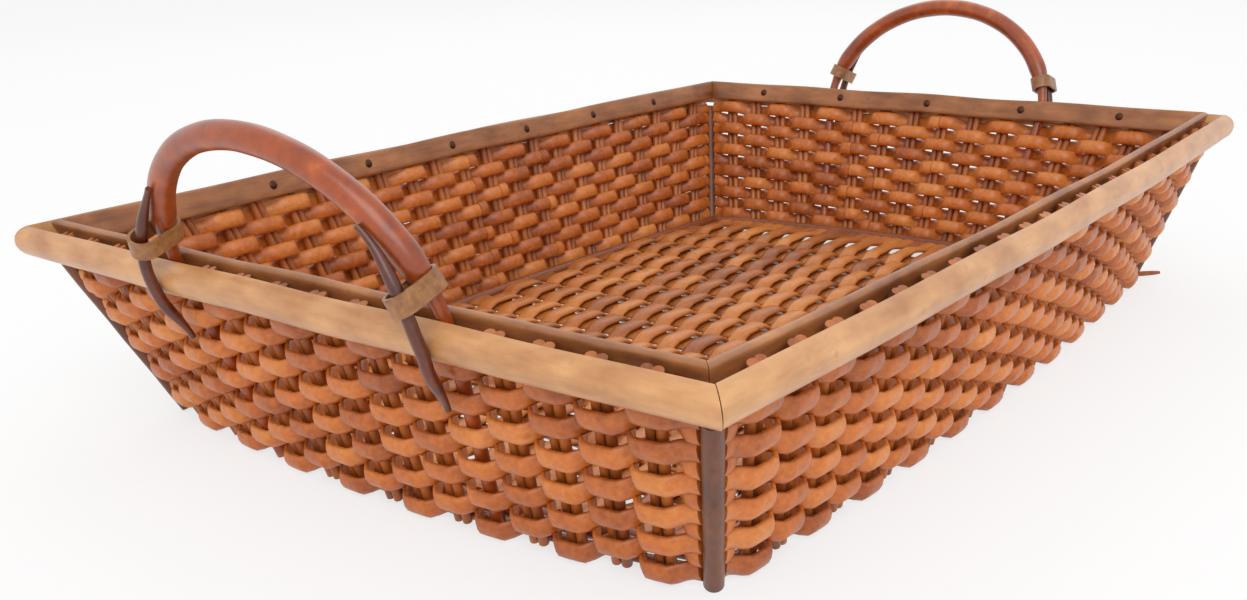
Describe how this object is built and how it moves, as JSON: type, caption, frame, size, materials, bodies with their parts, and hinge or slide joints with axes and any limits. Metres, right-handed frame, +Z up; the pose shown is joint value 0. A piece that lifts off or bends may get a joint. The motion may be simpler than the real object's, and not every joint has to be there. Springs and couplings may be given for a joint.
{
  "type": "trug garden basket",
  "caption": "Shallow rectangular willow basket with flared woven walls, a pale half-round rim and a fixed bent rod handle on each short end.",
  "frame": {"origin": "middle of the footprint at ground level", "axes": "+Z up, X along the length from the near handle to the far handle, Y along the width"},
  "size_m": [0.5414, 0.3596, 0.1466],
  "materials": {
    "rim_lath": "pale stripped wood, lightly varnished",
    "inner_lath": "pale stripped wood, weathered",
    "tack": "dark iron",
    "corner_post": "dark brown bark-on willow",
    "stake": "brown willow",
    "base_frame": "red-brown willow",
    "base_weaver": "golden-brown willow, satin",
    "cross_stick": "golden-brown willow, satin",
    "wall_weaver": "buff to red-brown willow, satin varnish",
    "handle_rod": "dark red-brown willow, glossy varnish",
    "handle_strand": "dark brown willow, glossy varnish",
    "binding": "pale split willow"
  },
  "bodies": {
    "root": {"near_end_outer_lath": "rim_lath", "far_end_outer_lath": "rim_lath", "front_outer_lath": "rim_lath", "back_outer_lath": "rim_lath", "near_end_inner_lath": "inner_lath", "far_end_inner_lath": "inner_lath", "front_inner_lath": "inner_lath", "back_inner_lath": "inner_lath", "rim_tacks": "tack", "front_near_corner_post": "corner_post", "back_near_corner_post": "corner_post", "front_far_corner_post": "corner_post", "back_far_corner_post": "corner_post", "near_end_stakes": "stake", "far_end_stakes": "stake", "front_stakes": "stake", "back_stakes": "stake", "near_end_base_rods": "base_frame", "far_end_base_rods": "base_frame", "front_base_rods": "base_frame", "back_base_rods": "base_frame", "odd_base_weavers": "base_weaver", "even_base_weavers": "base_weaver", "near_handle": "handle_rod", "far_handle": "handle_rod", "near_handle_front_strand": "handle_strand", "near_handle_back_strand": "handle_strand", "far_handle_front_strand": "handle_strand", "far_handle_back_strand": "handle_strand", "near_handle_bindings": "binding", "far_handle_bindings": "binding", "loose_weaver_tip": "wall_weaver", "weaver_row_1": "wall_weaver", "weaver_row_2": "wall_weaver", "weaver_row_3": "wall_weaver", "weaver_row_4": "wall_weaver", "weaver_row_5": "wall_weaver", "weaver_row_6": "wall_weaver", "weaver_row_7": "wall_weaver", "weaver_row_8": "wall_weaver", "weaver_row_9": "wall_weaver", "weaver_row_10": "wall_weaver", "weaver_row_11": "wall_weaver", "cross_stick_1": "cross_stick", "cross_stick_2": "cross_stick", "cross_stick_3": "cross_stick", "cross_stick_4": "cross_stick", "cross_stick_5": "cross_stick", "cross_stick_6": "cross_stick", "cross_stick_7": "cross_stick", "cross_stick_8": "cross_stick", "cross_stick_9": "cross_stick", "cross_stick_10": "cross_stick", "cross_stick_11": "cross_stick", "cross_stick_12": "cross_stick", "cross_stick_13": "cross_stick"}
  },
  "joints": []
}
